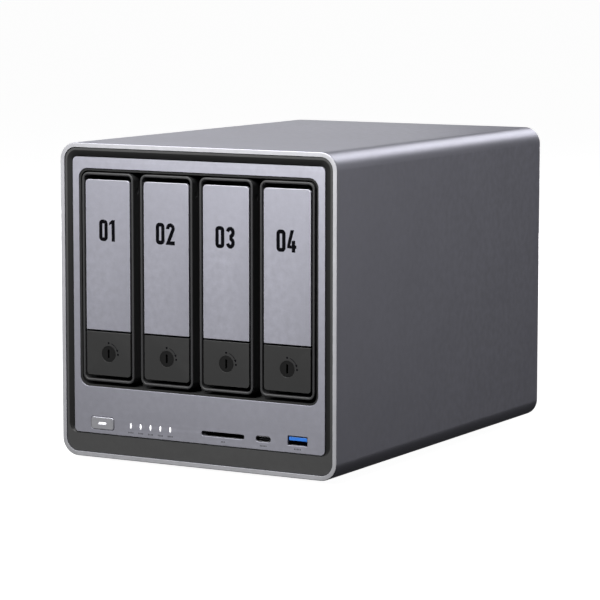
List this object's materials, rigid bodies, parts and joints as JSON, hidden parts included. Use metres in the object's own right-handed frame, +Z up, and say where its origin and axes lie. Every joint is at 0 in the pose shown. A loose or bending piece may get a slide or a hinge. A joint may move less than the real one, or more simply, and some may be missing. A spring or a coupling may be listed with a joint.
{
  "type": "nas enclosure",
  "caption": "Desktop network storage enclosure: aluminium sleeve, dark bezel, lockable pull-out drive trays, front sockets and button, rear fan with dust filter.",
  "frame": {"origin": "on the ground under the middle of the enclosure", "axes": "+X to the right seen from the front, -Y out of the front where the trays pull out, +Z up"},
  "size_m": [0.178, 0.257, 0.18],
  "materials": {
    "shell_aluminium": "bead-blasted, anodised grey",
    "panel_aluminium": "bead-blasted, anodised grey, bright cut edge",
    "handle_aluminium": "bead-blasted, anodised silver grey",
    "bezel_plastic": "fine texture, dark grey",
    "tray_plastic": "fine texture, near black",
    "latch_plastic": "fine texture, dark grey",
    "lock_plastic": "fine texture, near black",
    "guide_plastic": "moulded, black",
    "cage_steel": "zinc-plated sheet",
    "circuit_board": "green solder mask",
    "socket_plastic": "moulded, black",
    "brass_posts": "turned",
    "heatsink_aluminium": "extruded",
    "rear_painted_steel": "powder coat, dark grey",
    "screw_steel": "black nickel",
    "fan_plastic": "moulded, black",
    "socket_metal": "nickel-plated",
    "usb_blue": "moulded, blue",
    "light_pipe": "clear white, lit",
    "button_metal": "anodised silver, bright cut edge",
    "reset_plastic": "moulded, grey",
    "foot_rubber": "matte, black",
    "filter_plastic": "moulded, black",
    "filter_net": "woven nylon, black",
    "magnet_metal": "nickel-plated"
  },
  "bodies": {
    "enclosure": {"outer_shell": "shell_aluminium", "front_bezel": "bezel_plastic", "front_panel": "panel_aluminium", "bay_surround": "bezel_plastic", "drive_cage": "cage_steel", "bay_guides": "guide_plastic", "backplane_board": "circuit_board", "sata_connectors": "socket_plastic", "mainboard": "circuit_board", "board_standoffs": "brass_posts", "cpu_heatsink": "heatsink_aluminium", "memory_module": "circuit_board", "m2_connectors": "socket_plastic", "power_supply": "cage_steel", "rear_panel": "rear_painted_steel", "rear_screws": "screw_steel", "fan_frame": "fan_plastic", "fan_screws": "screw_steel", "power_inlet": "socket_plastic", "hdmi_port": "socket_metal", "lan_ports": "socket_metal", "rear_usb_ports": "socket_metal", "reset_switch": "socket_plastic", "front_io_board": "circuit_board", "sd_card_socket": "socket_metal", "usb_c_port": "socket_metal", "usb_a_shell": "socket_metal", "usb_a_tongue": "usb_blue", "status_lights": "light_pipe", "bottom_hatch": "rear_painted_steel", "hatch_screws": "screw_steel", "feet": "foot_rubber"},
    "power_key": {"power_button": "button_metal", "power_button_light": "light_pipe"},
    "reset_key": {"reset_button": "reset_plastic"},
    "fan_wheel": {"fan_rotor": "fan_plastic"},
    "dust_filter": {"filter_frame": "filter_plastic", "filter_mesh": "filter_net", "filter_magnets": "magnet_metal"},
    "tray_1": {"tray_1_frame": "tray_plastic"},
    "tray_1_lever": {"tray_1_handle": "tray_plastic", "tray_1_handle_face": "handle_aluminium"},
    "tray_1_catch": {"tray_1_latch": "latch_plastic"},
    "tray_1_barrel": {"tray_1_lock": "lock_plastic"},
    "tray_2": {"tray_2_frame": "tray_plastic"},
    "tray_2_lever": {"tray_2_handle": "tray_plastic", "tray_2_handle_face": "handle_aluminium"},
    "tray_2_catch": {"tray_2_latch": "latch_plastic"},
    "tray_2_barrel": {"tray_2_lock": "lock_plastic"},
    "tray_3": {"tray_3_frame": "tray_plastic"},
    "tray_3_lever": {"tray_3_handle": "tray_plastic", "tray_3_handle_face": "handle_aluminium"},
    "tray_3_catch": {"tray_3_latch": "latch_plastic"},
    "tray_3_barrel": {"tray_3_lock": "lock_plastic"},
    "tray_4": {"tray_4_frame": "tray_plastic"},
    "tray_4_lever": {"tray_4_handle": "tray_plastic", "tray_4_handle_face": "handle_aluminium"},
    "tray_4_catch": {"tray_4_latch": "latch_plastic"},
    "tray_4_barrel": {"tray_4_lock": "lock_plastic"}
  },
  "joints": [
    {"name": "power_button_press", "type": "slide", "parent": "enclosure", "child": "power_key", "axis": [0, 1, 0], "range_m": [0, 0.0008], "stiffness_N_per_m": 1500, "springref_m": -0.0003},
    {"name": "reset_button_press", "type": "slide", "parent": "enclosure", "child": "reset_key", "axis": [0, -1, 0], "range_m": [0, 0.0004], "stiffness_N_per_m": 1500, "springref_m": -0.0003},
    {"name": "fan_spin", "type": "hinge", "parent": "enclosure", "child": "fan_wheel", "pos_m": [0, 0.11025, 0.1065], "axis": [0, 1, 0], "continuous": true},
    {"name": "filter_pull", "type": "slide", "parent": "enclosure", "child": "dust_filter", "axis": [0, 1, 0], "range_m": [0, 0.03]},
    {"name": "tray_1_slide", "type": "slide", "parent": "enclosure", "child": "tray_1", "axis": [0, -1, 0], "range_m": [0, 0.18]},
    {"name": "tray_1_handle_swing", "type": "hinge", "parent": "tray_1", "child": "tray_1_lever", "pos_m": [-0.0579, -0.1237, 0.1536], "axis": [-1, 0, 0], "range_deg": [0, 65]},
    {"name": "tray_1_latch_press", "type": "slide", "parent": "tray_1", "child": "tray_1_catch", "axis": [0, 1, 0], "range_m": [0, 0.0015], "stiffness_N_per_m": 800, "springref_m": -0.001},
    {"name": "tray_1_lock_turn", "type": "hinge", "parent": "tray_1_catch", "child": "tray_1_barrel", "pos_m": [-0.0579, -0.1278, 0.0615], "axis": [0, 1, 0], "range_deg": [0, 90]},
    {"name": "tray_2_slide", "type": "slide", "parent": "enclosure", "child": "tray_2", "axis": [0, -1, 0], "range_m": [0, 0.18]},
    {"name": "tray_2_handle_swing", "type": "hinge", "parent": "tray_2", "child": "tray_2_lever", "pos_m": [-0.0193, -0.1237, 0.1536], "axis": [-1, 0, 0], "range_deg": [0, 65]},
    {"name": "tray_2_latch_press", "type": "slide", "parent": "tray_2", "child": "tray_2_catch", "axis": [0, 1, 0], "range_m": [0, 0.0015], "stiffness_N_per_m": 800, "springref_m": -0.001},
    {"name": "tray_2_lock_turn", "type": "hinge", "parent": "tray_2_catch", "child": "tray_2_barrel", "pos_m": [-0.0193, -0.1278, 0.0615], "axis": [0, 1, 0], "range_deg": [0, 90]},
    {"name": "tray_3_slide", "type": "slide", "parent": "enclosure", "child": "tray_3", "axis": [0, -1, 0], "range_m": [0, 0.18]},
    {"name": "tray_3_handle_swing", "type": "hinge", "parent": "tray_3", "child": "tray_3_lever", "pos_m": [0.0193, -0.1237, 0.1536], "axis": [-1, 0, 0], "range_deg": [0, 65]},
    {"name": "tray_3_latch_press", "type": "slide", "parent": "tray_3", "child": "tray_3_catch", "axis": [0, 1, 0], "range_m": [0, 0.0015], "stiffness_N_per_m": 800, "springref_m": -0.001},
    {"name": "tray_3_lock_turn", "type": "hinge", "parent": "tray_3_catch", "child": "tray_3_barrel", "pos_m": [0.0193, -0.1278, 0.0615], "axis": [0, 1, 0], "range_deg": [0, 90]},
    {"name": "tray_4_slide", "type": "slide", "parent": "enclosure", "child": "tray_4", "axis": [0, -1, 0], "range_m": [0, 0.18]},
    {"name": "tray_4_handle_swing", "type": "hinge", "parent": "tray_4", "child": "tray_4_lever", "pos_m": [0.0579, -0.1237, 0.1536], "axis": [-1, 0, 0], "range_deg": [0, 65]},
    {"name": "tray_4_latch_press", "type": "slide", "parent": "tray_4", "child": "tray_4_catch", "axis": [0, 1, 0], "range_m": [0, 0.0015], "stiffness_N_per_m": 800, "springref_m": -0.001},
    {"name": "tray_4_lock_turn", "type": "hinge", "parent": "tray_4_catch", "child": "tray_4_barrel", "pos_m": [0.0579, -0.1278, 0.0615], "axis": [0, 1, 0], "range_deg": [0, 90]}
  ]
}
